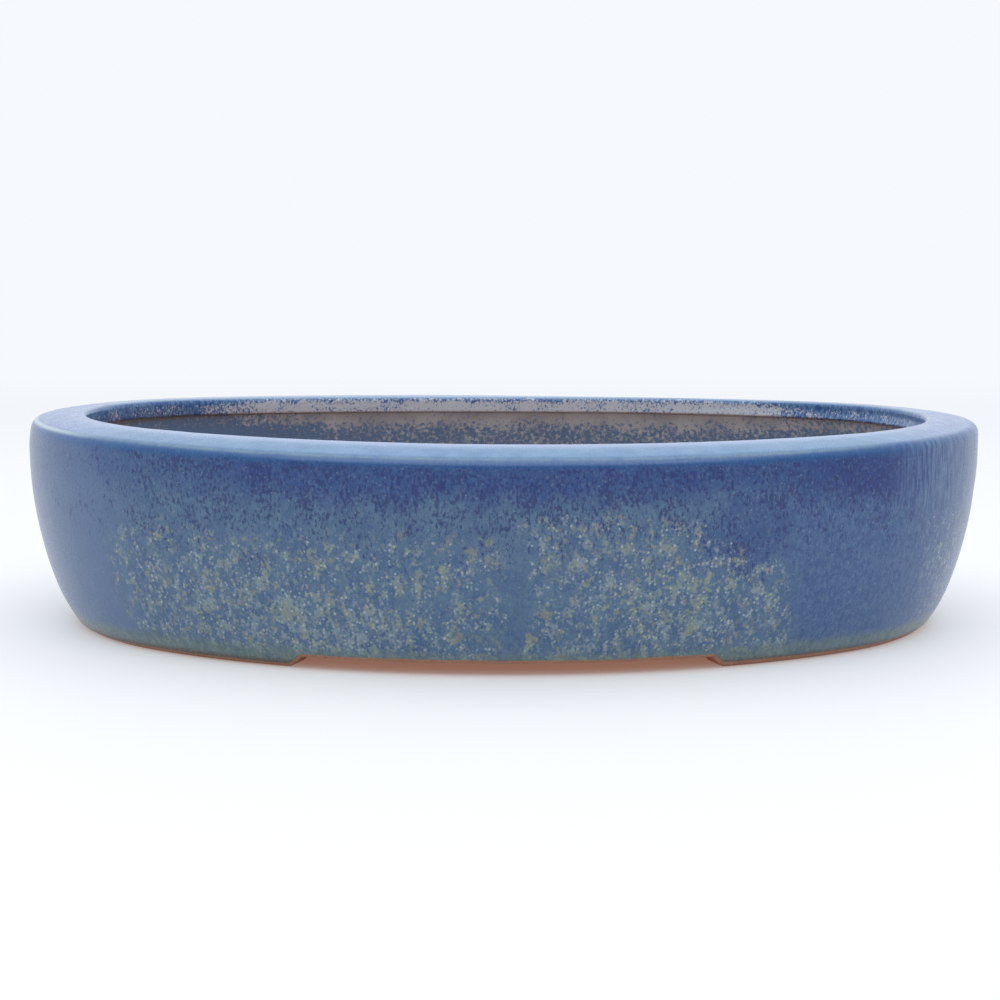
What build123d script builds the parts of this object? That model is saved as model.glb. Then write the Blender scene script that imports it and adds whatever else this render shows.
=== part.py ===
from build123d import *
import os
from math import asin, atan2, cos, degrees, hypot, radians, sin, sqrt
from typing import NamedTuple

# Shallow oval bonsai pot: a stoneware pot with a broad inward rim, gently curved walls, a flat
# floor with drain holes, and a low foot ring that is cut through at the front and the back.
# It is built up the way a potter builds it: floor slab, wall and rim luted together, one coil
# pressed in under the rim and one into the bottom corner, two feet underneath, and a skin of
# fired glaze over the clay.
#
# Frame: X along the length, Y from front (-Y) to back (+Y), Z up. The origin is on the surface
# that the feet stand on, under the middle of the pot. All sizes are in millimetres.

# ---- Driving dimensions ----
LENGTH = 300.0  # over the widest part of the walls
DEPTH = 218.0
END_RADIUS = 92.0  # plan radius of the two rounded ends

FOOT_HEIGHT = 3.6
FLOOR_THICKNESS = 8.4
BELLY_HEIGHT = 53.0  # height at which the walls are widest
SHOULDER_HEIGHT = 59.6  # where the upright wall turns over into the rim
WALL_CURVE = 118.0  # radius of the wall's profile below the belly
WALL_THICKNESS = 8.5

RIM_WIDTH = 17.0  # from the widest outline to the inner edge of the mouth
SHOULDER_RADIUS = 3.0  # outer edge of the rim
LIP_RADIUS = 1.6  # inner edge of the rim
LIP_CENTRE_HEIGHT = 62.4  # centre of that inner rounding, so the crest is at 64
CROWN_RADIUS = 75.0  # the rim's top is slightly domed, and slopes down outwards
LIP_BOTTOM = 58.3  # the rim's inner face ends here, in an undercut
UNDERCUT = 2.2  # the coil under the rim starts this far behind the rim's inner face
RIM_COIL_BOTTOM = 44.0  # and is smoothed into the wall at this height

GLAZE = 0.5  # glaze outside and over the rim
INNER_GLAZE = 0.4
GLAZE_LINE = 1.7  # bare clay shows on the feet below this height

FOOT_WIDTH = 11.0
FOOT_EDGE = 0.8  # small bevel around the foot's contact face
NOTCH_TOP = 115.0  # length of the gap between the feet where it meets the floor
NOTCH_BOTTOM = 125.0  # the toes slope back to this on the ground
COIL_RADIUS = 6.0  # height and width of the coil in the inner corner

DRAIN_RADIUS = 10.0
DRAIN_SPACING = 110.0
WIRE_RADIUS = 2.5
WIRE_SPACING_X = 170.0
WIRE_SPACING_Y = 84.0

FLOOR_TOP = FOOT_HEIGHT + FLOOR_THICKNESS
HALF_LENGTH = LENGTH / 2
HALF_DEPTH = DEPTH / 2


# ---- Plan: an oval of four tangent arcs ----
class OvalArc(NamedTuple):
    """One arc of the oval: its centre and radius in plan, and the angles it runs through."""

    centre: tuple
    radius: float
    start: float
    sweep: float

    @property
    def plane(self):
        """Upright plane at the arc's start, with x = inset from the outline and y = height."""
        outward = Vector(cos(radians(self.start)), sin(radians(self.start)), 0)
        foot = Vector(*self.centre, 0) + outward * self.radius
        return Plane(origin=foot, x_dir=-outward, z_dir=(-outward).cross(Vector(0, 0, 1)))

    @property
    def axis(self):
        return Axis((*self.centre, 0), (0, 0, 1))


end_centre = HALF_LENGTH - END_RADIUS
side_radius = (end_centre**2 + HALF_DEPTH**2 - END_RADIUS**2) / (2 * (HALF_DEPTH - END_RADIUS))
side_centre = side_radius - HALF_DEPTH
half_end = degrees(atan2(side_centre, end_centre))  # half the angle of an end arc
half_side = 90 - half_end

OVAL = (
    OvalArc((end_centre, 0), END_RADIUS, -half_end, 2 * half_end),
    OvalArc((0, -side_centre), side_radius, half_end, 2 * half_side),
    OvalArc((-end_centre, 0), END_RADIUS, 180 - half_end, 2 * half_end),
    OvalArc((0, side_centre), side_radius, 180 + half_end, 2 * half_side),
)


def oval_face(inset):
    """The plan outline moved inwards, as a flat sketch."""
    with BuildSketch(mode=Mode.PRIVATE) as face:
        with BuildLine():
            for arc in OVAL:
                CenterArc(arc.centre, arc.radius - inset, arc.start, arc.sweep)
        make_face()
    return face.sketch


# ---- Profile: inset from the widest outline against height ----
def wall_inset(height, depth=0.0):
    """Inset of the wall's outer curve, or of a surface that lies depth behind it."""
    return WALL_CURVE - sqrt((WALL_CURVE - depth) ** 2 - (BELLY_HEIGHT - height) ** 2)


lip_centre = RIM_WIDTH - LIP_RADIUS
dx = lip_centre - SHOULDER_RADIUS
dz = LIP_CENTRE_HEIGHT - SHOULDER_HEIGHT
span = hypot(dx, dz)
reach_outer = CROWN_RADIUS - SHOULDER_RADIUS
reach_inner = CROWN_RADIUS - LIP_RADIUS
along = (span**2 + reach_outer**2 - reach_inner**2) / (2 * span)
below = sqrt(reach_outer**2 - along**2)
# centre of the crown's arc, which is tangent to the roundings on both sides of it
crown = (
    SHOULDER_RADIUS + (along * dx + below * dz) / span,
    SHOULDER_HEIGHT + (along * dz - below * dx) / span,
)
shoulder_turn = degrees(atan2(SHOULDER_HEIGHT - crown[1], SHOULDER_RADIUS - crown[0]))
lip_turn = degrees(atan2(LIP_CENTRE_HEIGHT - crown[1], lip_centre - crown[0]))


def skin_line(bottom, depth):
    """Edges of the pot's outer surface, from the height bottom up the wall, over the rim and
    down to the lip's lower edge. They lie depth behind the glazed surface."""
    low = degrees(asin((bottom - BELLY_HEIGHT) / (WALL_CURVE - depth)))
    CenterArc((WALL_CURVE, BELLY_HEIGHT), WALL_CURVE - depth, 180 - low, low)
    Line((depth, BELLY_HEIGHT), (depth, SHOULDER_HEIGHT))
    CenterArc(
        (SHOULDER_RADIUS, SHOULDER_HEIGHT), SHOULDER_RADIUS - depth, shoulder_turn, 180 - shoulder_turn
    )
    CenterArc(crown, CROWN_RADIUS - depth, lip_turn, shoulder_turn - lip_turn)
    CenterArc((lip_centre, LIP_CENTRE_HEIGHT), LIP_RADIUS - depth, 0, lip_turn)
    Line((RIM_WIDTH - depth, LIP_CENTRE_HEIGHT), (RIM_WIDTH - depth, LIP_BOTTOM))


def wall_line(low, high, depth):
    """One edge that follows the wall's curve from low to high, depth behind its surface."""
    ThreePointArc(
        (wall_inset(low, depth), low),
        (wall_inset((low + high) / 2, depth), (low + high) / 2),
        (wall_inset(high, depth), high),
    )


# The wall stands on the floor slab and carries the rim.
with BuildSketch() as wall_section:
    with BuildLine():
        wall_line(FLOOR_TOP, BELLY_HEIGHT, GLAZE)
        Polyline(
            (GLAZE, BELLY_HEIGHT),
            (GLAZE, LIP_BOTTOM),
            (WALL_THICKNESS, LIP_BOTTOM),
            (WALL_THICKNESS, BELLY_HEIGHT),
        )
        wall_line(FLOOR_TOP, BELLY_HEIGHT, WALL_THICKNESS)
        Line((wall_inset(FLOOR_TOP, GLAZE), FLOOR_TOP), (wall_inset(FLOOR_TOP, WALL_THICKNESS), FLOOR_TOP))
    make_face()

# A coil under the rim carries its overhang, and is smoothed down into the wall.
undercut_inset = RIM_WIDTH - UNDERCUT
coil_foot_inset = wall_inset(RIM_COIL_BOTTOM, WALL_THICKNESS)
with BuildSketch() as rim_coil_section:
    with BuildLine():
        wall_line(RIM_COIL_BOTTOM, BELLY_HEIGHT, WALL_THICKNESS)
        Polyline(
            (WALL_THICKNESS, BELLY_HEIGHT),
            (WALL_THICKNESS, LIP_BOTTOM),
            (undercut_inset, LIP_BOTTOM),
            (coil_foot_inset, RIM_COIL_BOTTOM),
        )
    make_face()

# The rim is a broad band whose inner edge overhangs the wall.
with BuildSketch() as rim_section:
    with BuildLine():
        skin_line(FLOOR_TOP, GLAZE)
        Line((RIM_WIDTH - GLAZE, LIP_BOTTOM), (RIM_WIDTH, FLOOR_TOP))
        Line((RIM_WIDTH, FLOOR_TOP), (wall_inset(FLOOR_TOP, GLAZE), FLOOR_TOP))
    make_face()
    with Locations((0, LIP_BOTTOM)):
        Rectangle(3 * RIM_WIDTH, 2 * LIP_BOTTOM, align=(Align.CENTER, Align.MAX), mode=Mode.SUBTRACT)

# The glaze is a skin from the foot's glaze line, over the rim, to the lip's lower edge.
with BuildSketch() as glaze_section:
    with BuildLine():
        skin_line(GLAZE_LINE, 0)
        skin_line(GLAZE_LINE, GLAZE)
        Line((RIM_WIDTH - GLAZE, LIP_BOTTOM), (RIM_WIDTH, LIP_BOTTOM))
        Line((wall_inset(GLAZE_LINE), GLAZE_LINE), (wall_inset(GLAZE_LINE, GLAZE), GLAZE_LINE))
    make_face()

# Glaze also ran down inside, over the coil under the rim.
with BuildSketch() as inner_glaze_section:
    with BuildLine():
        Polyline(
            (undercut_inset, LIP_BOTTOM),
            (undercut_inset + INNER_GLAZE, LIP_BOTTOM),
            (coil_foot_inset + INNER_GLAZE, RIM_COIL_BOTTOM),
            (coil_foot_inset, RIM_COIL_BOTTOM),
            close=True,
        )
    make_face()

# Another coil fills the corner between floor and wall, smoothed to a hollow curve.
coil_top = FLOOR_TOP + COIL_RADIUS
corner_inset = wall_inset(FLOOR_TOP, WALL_THICKNESS)
with BuildSketch() as coil_section:
    with BuildLine():
        wall_line(FLOOR_TOP, coil_top, WALL_THICKNESS)
        RadiusArc(
            (wall_inset(coil_top, WALL_THICKNESS), coil_top),
            (corner_inset + COIL_RADIUS, FLOOR_TOP),
            -2 * COIL_RADIUS,
        )
        Line((corner_inset + COIL_RADIUS, FLOOR_TOP), (corner_inset, FLOOR_TOP))
    make_face()

# The foot ring, before it is cut into two feet.
foot_back = wall_inset(FOOT_HEIGHT, GLAZE) + FOOT_WIDTH
with BuildSketch() as foot_section:
    with BuildLine():
        wall_line(0, FOOT_HEIGHT, GLAZE)
        Polyline(
            (wall_inset(FOOT_HEIGHT, GLAZE), FOOT_HEIGHT),
            (foot_back, FOOT_HEIGHT),
            (foot_back, 0),
            (wall_inset(0, GLAZE), 0),
        )
    make_face()
    bottom_corners = foot_section.vertices().group_by(Axis.Y)[0]
    chamfer(bottom_corners, FOOT_EDGE)

# The outer edge of the floor slab continues the wall's curve.
with BuildSketch() as floor_edge_section:
    with BuildLine():
        wall_line(FOOT_HEIGHT, FLOOR_TOP, GLAZE)
        Polyline(
            (wall_inset(FLOOR_TOP, GLAZE), FLOOR_TOP),
            (foot_back, FLOOR_TOP),
            (foot_back, FOOT_HEIGHT),
            (wall_inset(FOOT_HEIGHT, GLAZE), FOOT_HEIGHT),
        )
    make_face()

# The gap between the feet, seen from the front: its sides slope out towards the ground.
with BuildSketch(Plane.XZ) as notch_section:
    with BuildLine():
        Polyline(
            (-NOTCH_TOP / 2, FOOT_HEIGHT),
            (NOTCH_TOP / 2, FOOT_HEIGHT),
            (NOTCH_BOTTOM / 2, 0),
            (-NOTCH_BOTTOM / 2, 0),
            close=True,
        )
    make_face()


# ---- Pieces ----
with BuildPart() as floor_slab:
    for arc in OVAL:
        with BuildSketch(arc.plane):
            add(floor_edge_section.sketch)
        revolve(axis=arc.axis, revolution_arc=arc.sweep)
    with BuildSketch(Plane.XY.offset(FOOT_HEIGHT)):
        add(oval_face(foot_back - 1))
    extrude(amount=FLOOR_THICKNESS)
    with BuildSketch(Plane.XY.offset(FOOT_HEIGHT)):
        with GridLocations(DRAIN_SPACING, 1, 2, 1):
            Circle(DRAIN_RADIUS)
        with GridLocations(WIRE_SPACING_X, WIRE_SPACING_Y, 2, 2):
            Circle(WIRE_RADIUS)
    extrude(amount=FLOOR_THICKNESS, mode=Mode.SUBTRACT)

with BuildPart() as wall:
    for arc in OVAL:
        with BuildSketch(arc.plane):
            add(wall_section.sketch)
        revolve(axis=arc.axis, revolution_arc=arc.sweep)

with BuildPart() as rim_band:
    for arc in OVAL:
        with BuildSketch(arc.plane):
            add(rim_section.sketch)
        revolve(axis=arc.axis, revolution_arc=arc.sweep)

with BuildPart() as rim_coil:
    for arc in OVAL:
        with BuildSketch(arc.plane):
            add(rim_coil_section.sketch)
        revolve(axis=arc.axis, revolution_arc=arc.sweep)

with BuildPart() as corner_coil:
    for arc in OVAL:
        with BuildSketch(arc.plane):
            add(coil_section.sketch)
        revolve(axis=arc.axis, revolution_arc=arc.sweep)

with BuildPart() as glaze_outside:
    for arc in OVAL:
        with BuildSketch(arc.plane):
            add(glaze_section.sketch)
        revolve(axis=arc.axis, revolution_arc=arc.sweep)
    extrude(notch_section.sketch, amount=DEPTH, both=True, mode=Mode.SUBTRACT)

with BuildPart() as glaze_inside:
    for arc in OVAL:
        with BuildSketch(arc.plane):
            add(inner_glaze_section.sketch)
        revolve(axis=arc.axis, revolution_arc=arc.sweep)

with BuildPart() as foot_ring:
    for arc in OVAL:
        with BuildSketch(arc.plane):
            add(foot_section.sketch)
        revolve(axis=arc.axis, revolution_arc=arc.sweep)
    extrude(notch_section.sketch, amount=DEPTH, both=True, mode=Mode.SUBTRACT)

with BuildPart() as foot_left:
    add(foot_ring.part)
    split(bisect_by=Plane.YZ, keep=Keep.BOTTOM)

with BuildPart() as foot_right:
    add(foot_ring.part)
    split(bisect_by=Plane.YZ, keep=Keep.TOP)

pieces = {
    "floor_slab": floor_slab,
    "wall": wall,
    "rim_band": rim_band,
    "rim_coil": rim_coil,
    "corner_coil": corner_coil,
    "glaze_outside": glaze_outside,
    "glaze_inside": glaze_inside,
    "foot_left": foot_left,
    "foot_right": foot_right,
}

os.makedirs("parts", exist_ok=True)
for label, piece in pieces.items():
    piece.part.label = label
    export_step(piece.part, f"parts/{label}.step")
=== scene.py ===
import math

import bmesh
import bpy
import numpy as np
from mathutils import Matrix, Vector, noise


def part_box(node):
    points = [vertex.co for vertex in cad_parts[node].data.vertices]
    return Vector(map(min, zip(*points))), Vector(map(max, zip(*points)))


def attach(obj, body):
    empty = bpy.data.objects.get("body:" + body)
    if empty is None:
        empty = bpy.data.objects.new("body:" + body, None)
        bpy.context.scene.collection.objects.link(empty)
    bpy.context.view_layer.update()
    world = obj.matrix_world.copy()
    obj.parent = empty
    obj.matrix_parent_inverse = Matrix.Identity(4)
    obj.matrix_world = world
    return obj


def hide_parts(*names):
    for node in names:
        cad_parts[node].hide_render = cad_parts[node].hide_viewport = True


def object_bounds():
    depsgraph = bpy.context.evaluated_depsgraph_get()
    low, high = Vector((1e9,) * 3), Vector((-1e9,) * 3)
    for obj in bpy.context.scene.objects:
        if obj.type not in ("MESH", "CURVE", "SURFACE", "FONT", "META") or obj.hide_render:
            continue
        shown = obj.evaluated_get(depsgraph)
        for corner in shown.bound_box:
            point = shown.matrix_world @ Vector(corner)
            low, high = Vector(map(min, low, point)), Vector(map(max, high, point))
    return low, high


# An oval bonsai pot in mottled blue glaze over red-brown clay. Every piece is a ring or slab built
# from the pot's own section: inset from the widest outline against height, carried round the oval.

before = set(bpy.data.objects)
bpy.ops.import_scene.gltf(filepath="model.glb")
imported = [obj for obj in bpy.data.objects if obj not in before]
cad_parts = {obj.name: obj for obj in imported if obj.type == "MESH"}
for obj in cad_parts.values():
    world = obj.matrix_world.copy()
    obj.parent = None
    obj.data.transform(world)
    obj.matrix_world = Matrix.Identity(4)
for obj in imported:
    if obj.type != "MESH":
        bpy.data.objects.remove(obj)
cad_low, cad_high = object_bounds()

MM = 0.001

# ---- Sizes, in metres, from the frame or from the pot's design ----
HALF_LENGTH = (cad_high.x - cad_low.x) / 2
HALF_DEPTH = HALF_LENGTH * 218 / 300
HEIGHT = cad_high.z
END_RADIUS = 92 * MM
FOOT_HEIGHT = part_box("foot_left")[1].z
FLOOR_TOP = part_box("floor_slab")[1].z
BELLY_HEIGHT = 53 * MM
WALL_CURVE = 118 * MM
WALL_THICKNESS = 8.5 * MM
RIM_WIDTH = 17 * MM
SHOULDER = (3.0 * MM, 59.6 * MM, 3.0 * MM)  # inset, height and radius of the rim's outer rounding
LIP = (15.4 * MM, 62.4 * MM, 1.6 * MM)  # the same for its inner rounding
CROWN_RADIUS = 75 * MM
LIP_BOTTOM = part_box("rim_band")[0].z
UNDERCUT = 2.2 * MM
RIM_COIL_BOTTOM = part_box("rim_coil")[0].z
COIL_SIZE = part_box("corner_coil")[1].z - FLOOR_TOP
GLAZE = 0.5 * MM
INNER_GLAZE = 0.4 * MM
GLAZE_RELIEF = 0.07 * MM  # how far the glaze swells in and out
INNER_RELIEF = 0.05 * MM
EDGE_TALL = 0.4 * MM  # height of the glaze's rounded lower edge
BACK_START = 0.25 * MM  # and how far above that edge its back starts
GLAZE_LINE = 1.4 * MM
RIGHT_BARE = 0.4 * MM  # how much more clay shows under the glaze at the right end
FOOT_WIDTH = 11 * MM
FOOT_EDGE = 0.8 * MM
TOE_END = 0.96  # share of the toe's slope that is made; the rest is thinner than a hair
NOTCH_LEFT = (-60.0 * MM, -55.0 * MM)  # where the slanted toe of the left foot starts and ends
NOTCH_RIGHT = (62.5 * MM, 58.0 * MM)
NOTCH_LINE = FOOT_HEIGHT + 0.9 * MM  # the glaze's lower edge between the feet
DRAIN_HOLES = [(-55 * MM, 0, 10 * MM), (55 * MM, 0, 10 * MM)]  # x, y and radius
WIRE_HOLES = [(x * MM, y * MM, 2.5 * MM) for x in (-85, 85) for y in (-42, 42)]
HOLE_EDGE = 0.7 * MM

# ---- Mesh resolution ----
COLUMNS = 860  # round the outer glaze
INNER_COLUMNS = 720
CLAY_COLUMNS = 480
FLOOR_COLUMNS = 240
HOLE_COLUMNS = 40
EDGE_ROWS = 6  # up the outer glaze: its rounded lower edge,
WALL_ROWS = 45  # the curve of the wall,
STRAIGHT_ROWS = 4  # the straight above it
SHOULDER_ROWS = 9  # and the rounding at the rim's outer edge
CROWN_ROWS = 15
LIP_ROWS = 8
LIP_FACE_ROWS = 6
BACK_ROWS = 8  # down the wall side of it
INNER_ROWS = 14  # on each side of the inner glaze
CLAY_ROWS = 18  # on each side of the wall
FOOT_COLUMNS = 700


# ---- The oval ----
class Oval:
    """The widest outline: four tangent arcs, read by the share of its length from +X onwards."""

    def __init__(self):
        end = HALF_LENGTH - END_RADIUS
        side_radius = (end**2 + HALF_DEPTH**2 - END_RADIUS**2) / (2 * (HALF_DEPTH - END_RADIUS))
        side = side_radius - HALF_DEPTH
        half_end = math.atan2(side, end)
        half_side = math.pi / 2 - half_end
        arcs = [
            ((end, 0), END_RADIUS, -half_end, 2 * half_end),
            ((0, -side), side_radius, half_end, 2 * half_side),
            ((-end, 0), END_RADIUS, math.pi - half_end, 2 * half_end),
            ((0, side), side_radius, math.pi + half_end, 2 * half_side),
        ]
        self.centre = np.array([a[0] for a in arcs])
        self.radius = np.array([a[1] for a in arcs])
        self.start = np.array([a[2] for a in arcs])
        lengths = np.array([a[1] * a[3] for a in arcs])
        self.begin = np.concatenate([[0], np.cumsum(lengths)])
        self.length = self.begin[-1]
        self.offset = lengths[0] / 2  # so that a share of 0 is at +X

    def at(self, share):
        """Points on the outline and the inward directions there."""
        s = (np.asarray(share) * self.length + self.offset) % self.length
        k = np.clip(np.searchsorted(self.begin, s, side="right") - 1, 0, 3)
        angle = self.start[k] + (s - self.begin[k]) / self.radius[k]
        out = np.stack([np.cos(angle), np.sin(angle)], -1)
        return self.centre[k] + out * self.radius[k][..., None], -out


oval = Oval()


# ---- The section ----
def wall_inset(height, depth=0.0):
    """Inset of the wall's outer curve at a height, or of a surface that lies depth behind it."""
    h = np.minimum(height, BELLY_HEIGHT)
    return WALL_CURVE - np.sqrt((WALL_CURVE - depth) ** 2 - (BELLY_HEIGHT - h) ** 2)


def crown_centre():
    """Centre of the arc over the rim's top, tangent to the roundings on both sides."""
    a, b = np.array(SHOULDER[:2]), np.array(LIP[:2])
    reach_a, reach_b = CROWN_RADIUS - SHOULDER[2], CROWN_RADIUS - LIP[2]
    span = np.linalg.norm(b - a)
    along = (span**2 + reach_a**2 - reach_b**2) / (2 * span)
    below = math.sqrt(reach_a**2 - along**2)
    step = (b - a) / span
    return a + step * along + np.array([step[1], -step[0]]) * below


def arc(centre, radius, start, end, count):
    """Points along an arc about a centre in the section, between two angles."""
    turn = np.linspace(start, end, count)
    return [(centre[0] + radius * math.cos(t), centre[1] + radius * math.sin(t)) for t in turn]


def rim_section(depth):
    """The surface from the top of the wall over the rim to the lip's lower edge."""
    crown = crown_centre()
    outer_turn = math.atan2(SHOULDER[1] - crown[1], SHOULDER[0] - crown[0])
    inner_turn = math.atan2(LIP[1] - crown[1], LIP[0] - crown[0])
    straight = np.linspace(BELLY_HEIGHT, SHOULDER[1], STRAIGHT_ROWS + 2)[1:-1]
    lip_face = np.linspace(LIP[1], LIP_BOTTOM, LIP_FACE_ROWS + 1)[1:]
    points = [(depth, h) for h in straight]
    points += arc(SHOULDER[:2], SHOULDER[2] - depth, math.pi, outer_turn, SHOULDER_ROWS)
    points += arc(crown, CROWN_RADIUS - depth, outer_turn, inner_turn, CROWN_ROWS + 1)[1:]
    points += arc(LIP[:2], LIP[2] - depth, inner_turn, 0, LIP_ROWS + 1)[1:]
    points += [(RIM_WIDTH - depth, h) for h in lip_face]
    return np.array(points)


# ---- How the pot was made by hand: gentle departures from the true shape ----
TIP_UP = 1.3 * MM  # the ends of the rim stand higher than its middle,
TIP_LEVEL = 0.45  # which drops by this share of it,
LEFT_UP = 0.6 * MM  # and the left end stands a little higher than the right
BACK_DOWN = 0.9 * MM  # the back of the rim sags,
BACK_RIGHT_UP = 0.35 * MM  # a little less at the right
FRONT_TILT = 1.0 * MM  # the rim's outer edge is lower at the front,
BACK_TILT = 1.2 * MM  # higher at the back left
END_TILT = 0.6 * MM  # and a little higher at the ends
LEFT_WIDER = 0.6 * MM  # the rim's top is wider at the left end
RIGHT_NARROWER = 1.2 * MM  # and narrower at the right
WOBBLE = 0.25 * MM  # the wall is a little uneven,
WOBBLE_SIZE = 60 * MM  # in swells about this wide,
WOBBLE_TOP = 20 * MM  # fully so above this height
TUCK = 2.6 * MM  # the ends of the foot are drawn in
TUCK_TOP = 15 * MM  # below this height
LEFT_SHORT = 0.45 * MM  # the left end is a little short,
LEFT_ROUND = 1.1 * MM  # and more rounded over the rim's outer edge,
RIGHT_ROUND = 0.11 * MM  # unlike the right end,
RIGHT_LONG = 0.4 * MM  # which is a little long from under the rim upwards,
LONG_FROM = 40 * MM  # between these heights
LONG_FULL = 55 * MM


def smooth(low, high, value):
    """0 below low and 1 above high, with a smooth change between."""
    t = np.clip((value - low) / (high - low), 0, 1)
    return t * t * (3 - 2 * t)


def field(points, scale, seed):
    """Smooth noise, about -1 to 1, whose features are about scale metres wide."""
    shift = Vector((seed * 7.31, seed * 3.17, seed * 5.73))
    return np.array([noise.noise(Vector(p) / scale + shift) for p in points.reshape(-1, 3)]).reshape(
        points.shape[:-1]
    )


def tucked(points):
    """Points with the ends of the pot's foot drawn in."""
    low = np.clip(1 - points[..., 2] / TUCK_TOP, 0, 1) ** 3
    x, y = points[..., 0], points[..., 1]
    toward = np.stack([x - np.clip(x, END_RADIUS - HALF_LENGTH, HALF_LENGTH - END_RADIUS), y], -1)
    toward /= END_RADIUS
    pull = TUCK * np.abs(x / HALF_LENGTH) ** 3 * low
    moved = points[..., :2] - toward * pull[..., None]
    return np.concatenate([moved, points[..., 2:]], -1)


def handmade(inset, height, share):
    """Section coordinates carried round the oval as 3-D points, with the pot's own warp."""
    base, inward = oval.at(share)
    x, y = base[..., 0] / HALF_LENGTH, base[..., 1] / HALF_DEPTH
    left, right = np.maximum(-x, 0), np.maximum(x, 0)
    front, back = np.minimum(y, 0) ** 2, np.maximum(y, 0) ** 2
    up = np.clip((height - FLOOR_TOP) / (HEIGHT - FLOOR_TOP), 0, 1)
    on_rim = smooth(SHOULDER[1] - 2 * MM, SHOULDER[1] + 2 * MM, height)
    across_rim = np.clip(inset / RIM_WIDTH, 0, 1)
    outer_half = np.clip(1 - inset / (0.5 * RIM_WIDTH), 0, 1)

    sag = BACK_DOWN - BACK_RIGHT_UP * smooth(0, 0.5, x)
    lift = TIP_UP * (x**2 - TIP_LEVEL) - LEFT_UP * x - sag * back
    tilt = BACK_TILT * smooth(0.5, -0.2, x) * back - FRONT_TILT * front + END_TILT * x**2
    warped = height + up * lift + on_rim * (1 - across_rim) * tilt

    widen = np.where(x < 0, LEFT_WIDER, -RIGHT_NARROWER) * x**2 * across_rim * on_rim
    turn_in = np.where(x < 0, LEFT_ROUND, RIGHT_ROUND) * x**4
    turn_in = turn_in * smooth(SHOULDER[1] - 5 * MM, HEIGHT, height) * outer_half
    rest = np.concatenate([base, np.zeros(base.shape[:-1] + (1,))], -1)
    sway = WOBBLE * field(rest, WOBBLE_SIZE, 1) * smooth(0, WOBBLE_TOP, warped)
    short = LEFT_SHORT * left**3
    short -= RIGHT_LONG * right**6 * smooth(LONG_FROM, LONG_FULL, warped) * (1 - across_rim)
    spot = base + inward * (inset + widen + turn_in + sway + short)[..., None]
    return tucked(np.concatenate([spot, warped[..., None]], -1))


# ---- Mesh helpers ----
def new_object(name, data):
    made = bpy.data.objects.new(name, data)
    bpy.context.scene.collection.objects.link(made)
    return made


def new_piece(name, verts, faces, profile=None):
    mesh = bpy.data.meshes.new(name)
    mesh.from_pydata(verts.reshape(-1, 3).tolist(), [], faces)
    mesh.polygons.foreach_set("use_smooth", [True] * len(mesh.polygons))
    if profile is not None:
        layer = mesh.attributes.new("profile", "FLOAT_VECTOR", "POINT")
        layer.data.foreach_set("vector", profile.astype(np.float32).ravel())
    mesh.update()
    piece = new_object(name, mesh)
    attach(piece, "root")
    return piece


def ring_faces(rows, columns):
    """Quads of a closed section carried all the way round."""
    r, c = np.meshgrid(np.arange(rows), np.arange(columns), indexing="ij")
    r2, c2 = (r + 1) % rows, (c + 1) % columns
    quads = np.stack([r * columns + c, r * columns + c2, r2 * columns + c2, r2 * columns + c], -1)
    return quads.reshape(-1, 4).tolist()


def outward(piece):
    """Turn all faces of a closed mesh outwards."""
    mesh = bmesh.new()
    mesh.from_mesh(piece.data)
    bmesh.ops.recalc_face_normals(mesh, faces=mesh.faces)
    mesh.to_mesh(piece.data)
    mesh.free()


def ring_piece(name, section, columns=CLAY_COLUMNS, relief=0.0, crease=None):
    """A closed ring. section is rows of (inset, height), each a number or one per column.

    With a crease row, the attribute "profile" holds a place on a plain tube as tall as the surface
    is long over the section: the third number is metres past the crease, negative down the wall.
    """
    share = np.arange(columns) / columns
    inset = np.stack([np.broadcast_to(p[0], columns) for p in section])
    height = np.stack([np.broadcast_to(p[1], columns) for p in section])
    verts = handmade(inset, height, np.broadcast_to(share, inset.shape))
    if relief:
        verts = uneven(verts, relief)
    profile = None
    if crease is not None:
        step = np.hypot(np.diff(inset, axis=0), np.diff(height, axis=0))
        along = np.concatenate([np.zeros((1, columns)), np.cumsum(step, 0)])
        tube = oval.length / math.tau
        round_x = np.broadcast_to(tube * np.cos(share * math.tau), along.shape)
        round_y = np.broadcast_to(tube * np.sin(share * math.tau), along.shape)
        profile = np.stack([round_x, round_y, along - along[crease]], -1)
    piece = new_piece(name, verts, ring_faces(len(section), columns), profile)
    outward(piece)
    return piece


def uneven(verts, relief):
    """The surface moved in and out by a gentle unevenness, as fired glaze has."""
    across = np.roll(verts, -1, 1) - np.roll(verts, 1, 1)
    down = np.roll(verts, -1, 0) - np.roll(verts, 1, 0)
    normal = np.cross(across, down)
    normal /= np.maximum(np.linalg.norm(normal, axis=-1, keepdims=True), 1e-12)
    swell = 0.65 * field(verts, 9 * MM, 3) + 0.35 * field(verts, 3.5 * MM, 4)
    return verts + normal * (swell * relief)[..., None]


def notch_rise(x):
    """0 on the feet and 1 between them, rising along the slanted toes."""
    left = (x - NOTCH_LEFT[0]) / (NOTCH_LEFT[1] - NOTCH_LEFT[0])
    right = (x - NOTCH_RIGHT[0]) / (NOTCH_RIGHT[1] - NOTCH_RIGHT[0])
    return np.clip(np.minimum(left, right), 0, 1)


def glaze_line(share):
    """Height of the glaze's lower edge: low on the feet, and up at the floor between them."""
    base, inward = oval.at(share)
    points = np.concatenate([base, np.zeros((len(base), 1))], -1)
    waver = 0.25 * MM * field(points, 16 * MM, 8) + 0.12 * MM * field(points, 4 * MM, 9)
    x = base[:, 0] + inward[:, 0] * wall_inset(0)
    low = GLAZE_LINE + RIGHT_BARE * x / HALF_LENGTH
    return low + waver + (NOTCH_LINE - low) * smooth(0, 1, notch_rise(x))


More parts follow.
